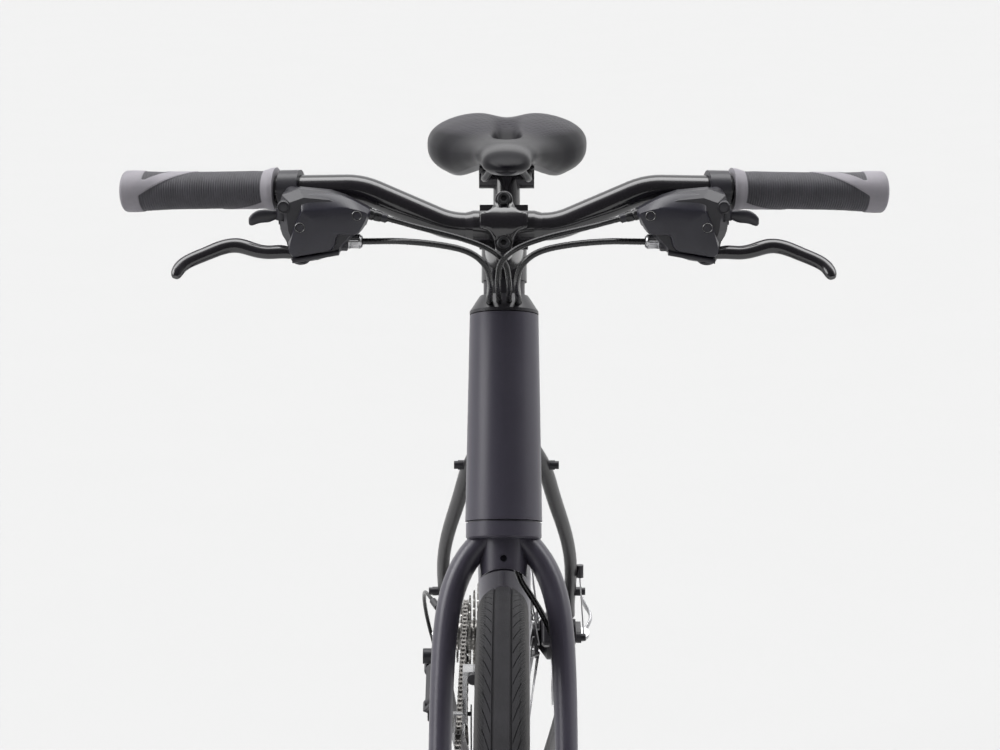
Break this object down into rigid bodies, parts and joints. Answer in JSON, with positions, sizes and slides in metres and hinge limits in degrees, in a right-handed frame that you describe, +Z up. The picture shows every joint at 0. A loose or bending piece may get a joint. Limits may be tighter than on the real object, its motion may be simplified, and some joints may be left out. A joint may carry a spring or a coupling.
{
  "type": "hybrid bike",
  "caption": "Flat-bar hybrid bicycle with rigid fork, cable disc brakes, derailleur gears, padded saddle and working steering, wheels, cranks, levers and seatpost.",
  "frame": {"origin": "on the ground midway between the two wheel axles", "axes": "+Z up, front of the bike towards -Y, the drive side towards -X"},
  "size_m": [0.6132, 1.74, 0.9997],
  "materials": {
    "frame_paint": "satin, near-matte dark slate paint",
    "black_alloy": "gloss black coating",
    "dark_alloy": "satin black coating",
    "rim_alloy": "satin black anodised",
    "silver_alloy": "polished",
    "bright_steel": "brushed",
    "chain_steel": "oiled",
    "dark_steel": "black coated",
    "black_plastic": "matte moulded",
    "cable_jacket": "smooth black jacket",
    "grip_rubber": "ribbed matte",
    "tyre_rubber": "matte",
    "saddle_cover": "matte grained synthetic leather"
  },
  "bodies": {
    "frame": {"head_tube": "frame_paint", "top_tube": "frame_paint", "down_tube": "frame_paint", "seat_tube": "frame_paint", "bottom_bracket_shell": "frame_paint", "seat_stays": "frame_paint", "chain_stays": "frame_paint", "rear_dropouts": "frame_paint", "frame_bearings": "bright_steel", "frame_fittings": "dark_alloy", "rear_brake_caliper": "dark_alloy", "derailleur_mounts": "dark_steel", "chain": "chain_steel", "frame_cables": "cable_jacket", "rear_axle": "silver_alloy"},
    "rear_arm": {"rear_brake_arm": "silver_alloy"},
    "front_mech": {"front_derailleur_cage": "bright_steel"},
    "rear_mech_links": {"rear_derailleur_links": "dark_steel"},
    "rear_mech_body": {"rear_derailleur_body": "dark_steel"},
    "rear_mech_cage": {"rear_derailleur_cage": "dark_steel"},
    "guide_wheel": {"guide_pulley": "black_plastic"},
    "tension_wheel": {"tension_pulley": "black_plastic"},
    "rear_wheel": {"rear_hub": "rim_alloy", "rear_spokes": "bright_steel", "rear_rim": "rim_alloy", "rear_tyre": "tyre_rubber", "rear_rotor": "bright_steel"},
    "cogs": {"cassette": "bright_steel"},
    "rear_release": {"rear_quick_release": "silver_alloy"},
    "seat": {"seatpost": "black_alloy", "saddle_rails": "bright_steel", "saddle_base": "black_plastic", "saddle_cover": "saddle_cover"},
    "cranks": {"crankset": "dark_alloy", "chainrings": "dark_steel"},
    "left_platform": {"left_pedal": "black_plastic"},
    "right_platform": {"right_pedal": "black_plastic"},
    "fork": {"fork_steerer": "frame_paint", "fork_legs": "frame_paint", "stem": "black_alloy", "headset_cover": "black_alloy", "handlebar": "black_alloy", "grips": "grip_rubber", "control_bodies": "black_plastic", "control_cables": "cable_jacket", "front_brake_caliper": "dark_alloy", "front_axle": "silver_alloy"},
    "left_lever": {"left_brake_lever": "dark_alloy"},
    "right_lever": {"right_brake_lever": "dark_alloy"},
    "left_thumb": {"left_thumb_lever": "black_plastic"},
    "right_thumb": {"right_thumb_lever": "black_plastic"},
    "left_trigger": {"left_release_lever": "black_plastic"},
    "right_trigger": {"right_release_lever": "black_plastic"},
    "front_arm": {"front_brake_arm": "silver_alloy"},
    "front_release": {"front_quick_release": "silver_alloy"},
    "front_wheel": {"front_hub": "rim_alloy", "front_spokes": "bright_steel", "front_rim": "rim_alloy", "front_tyre": "tyre_rubber", "front_rotor": "bright_steel"}
  },
  "joints": [
    {"name": "steering", "type": "hinge", "parent": "frame", "child": "fork", "pos_m": [0, -0.34469, 0.71361], "axis": [0, 0.3256, 0.9455], "range_deg": [-50, 50]},
    {"name": "front_wheel_spin", "type": "hinge", "parent": "fork", "child": "front_wheel", "pos_m": [0, -0.521, 0.349], "axis": [1, 0, 0], "continuous": true},
    {"name": "rear_wheel_spin", "type": "hinge", "parent": "frame", "child": "rear_wheel", "pos_m": [0, 0.521, 0.349], "axis": [1, 0, 0], "continuous": true},
    {"name": "crank_spin", "type": "hinge", "parent": "frame", "child": "cranks", "pos_m": [0, 0.0866, 0.279], "axis": [1, 0, 0], "continuous": true, "deforming": ["chain"]},
    {"name": "cassette_spin", "type": "hinge", "parent": "frame", "child": "cogs", "pos_m": [0, 0.521, 0.349], "axis": [1, 0, 0], "continuous": true, "deforming": ["chain"]},
    {"name": "guide_pulley_spin", "type": "hinge", "parent": "rear_mech_cage", "child": "guide_wheel", "pos_m": [-0.0476, 0.488, 0.265], "axis": [1, 0, 0], "continuous": true, "deforming": ["chain"]},
    {"name": "tension_pulley_spin", "type": "hinge", "parent": "rear_mech_cage", "child": "tension_wheel", "pos_m": [-0.0476, 0.49242, 0.20917], "axis": [1, 0, 0], "continuous": true, "deforming": ["chain"]},
    {"name": "left_pedal_spin", "type": "hinge", "parent": "cranks", "child": "left_platform", "pos_m": [0.078, 0.2566, 0.279], "axis": [1, 0, 0], "continuous": true},
    {"name": "right_pedal_spin", "type": "hinge", "parent": "cranks", "child": "right_platform", "pos_m": [-0.078, -0.0834, 0.279], "axis": [1, 0, 0], "continuous": true},
    {"name": "left_brake_pull", "type": "hinge", "parent": "fork", "child": "left_lever", "pos_m": [0.158, -0.37262, 0.94062], "axis": [0, -0.7071, 0.7071], "range_deg": [0, 20], "stiffness_Nm_per_rad": 1.2, "springref_deg": -5.73, "deforming": ["control_cables"]},
    {"name": "right_brake_pull", "type": "hinge", "parent": "fork", "child": "right_lever", "pos_m": [-0.158, -0.37262, 0.94062], "axis": [0, 0.7071, -0.7071], "range_deg": [0, 20], "stiffness_Nm_per_rad": 1.2, "springref_deg": -5.73, "deforming": ["frame_cables"]},
    {"name": "front_brake_arm_turn", "type": "hinge", "parent": "fork", "child": "front_arm", "pos_m": [0.0593, -0.45898, 0.37925], "axis": [1, 0, 0], "range_deg": [0, 22], "deforming": ["control_cables"]},
    {"name": "rear_brake_arm_turn", "type": "hinge", "parent": "frame", "child": "rear_arm", "pos_m": [0.0768, 0.45702, 0.37485], "axis": [-1, 0, 0], "range_deg": [0, 22], "deforming": ["frame_cables"]},
    {"name": "left_thumb_push", "type": "hinge", "parent": "fork", "child": "left_thumb", "pos_m": [0.146, -0.34062, 0.94862], "axis": [0, 0, -1], "range_deg": [0, 30], "stiffness_Nm_per_rad": 0.15, "springref_deg": -8.59},
    {"name": "right_thumb_push", "type": "hinge", "parent": "fork", "child": "right_thumb", "pos_m": [-0.146, -0.34062, 0.94862], "axis": [0, 0, 1], "range_deg": [0, 30], "stiffness_Nm_per_rad": 0.15, "springref_deg": -8.59},
    {"name": "left_release_pull", "type": "hinge", "parent": "fork", "child": "left_trigger", "pos_m": [0.172, -0.36662, 0.96762], "axis": [0, 0, 1], "range_deg": [0, 16], "stiffness_Nm_per_rad": 0.08, "springref_deg": -8.59},
    {"name": "right_release_pull", "type": "hinge", "parent": "fork", "child": "right_trigger", "pos_m": [-0.172, -0.36662, 0.96762], "axis": [0, 0, -1], "range_deg": [0, 16], "stiffness_Nm_per_rad": 0.08, "springref_deg": -8.59},
    {"name": "front_release_swing", "type": "hinge", "parent": "fork", "child": "front_release", "pos_m": [0.07, -0.521, 0.349], "axis": [0, 0.8829, -0.4695], "range_deg": [0, 180]},
    {"name": "rear_release_swing", "type": "hinge", "parent": "frame", "child": "rear_release", "pos_m": [0.0875, 0.521, 0.349], "axis": [0, 0.6018, -0.7986], "range_deg": [0, 180]},
    {"name": "front_derailleur_swing", "type": "hinge", "parent": "frame", "child": "front_mech", "pos_m": [-0.033, 0.14011, 0.42794], "axis": [0, -1, 0], "range_deg": [0, 8], "stiffness_Nm_per_rad": 2, "deforming": ["chain", "frame_cables"]},
    {"name": "rear_derailleur_swing", "type": "hinge", "parent": "frame", "child": "rear_mech_links", "pos_m": [-0.084, 0.53998, 0.30403], "axis": [0.5736, -0.4918, 0.6551], "range_deg": [-18, 26], "stiffness_Nm_per_rad": 2, "deforming": ["chain", "frame_cables"]},
    {"name": "rear_derailleur_level", "type": "hinge", "parent": "rear_mech_links", "child": "rear_mech_body", "pos_m": [-0.084, 0.50319, 0.27641], "axis": [0.5736, -0.4918, 0.6551], "range_deg": [-26, 18], "deforming": ["chain", "frame_cables"]},
    {"name": "derailleur_cage_turn", "type": "hinge", "parent": "rear_mech_body", "child": "rear_mech_cage", "pos_m": [-0.0476, 0.488, 0.265], "axis": [1, 0, 0], "range_deg": [-20, 35], "stiffness_Nm_per_rad": 1.5, "deforming": ["chain"]},
    {"name": "seatpost_slide", "type": "slide", "parent": "frame", "child": "seat", "axis": [0, 0.284, 0.9588], "range_m": [-0.1, 0.04]}
  ],
  "couplings": [
    {"joint": "cassette_spin", "follows": "crank_spin", "ratio": 2.4444},
    {"joint": "guide_pulley_spin", "follows": "crank_spin", "ratio": -4},
    {"joint": "tension_pulley_spin", "follows": "crank_spin", "ratio": 4},
    {"joint": "front_brake_arm_turn", "follows": "left_brake_pull", "ratio": 1},
    {"joint": "rear_brake_arm_turn", "follows": "right_brake_pull", "ratio": 1},
    {"joint": "rear_derailleur_level", "follows": "rear_derailleur_swing", "ratio": -1}
  ]
}
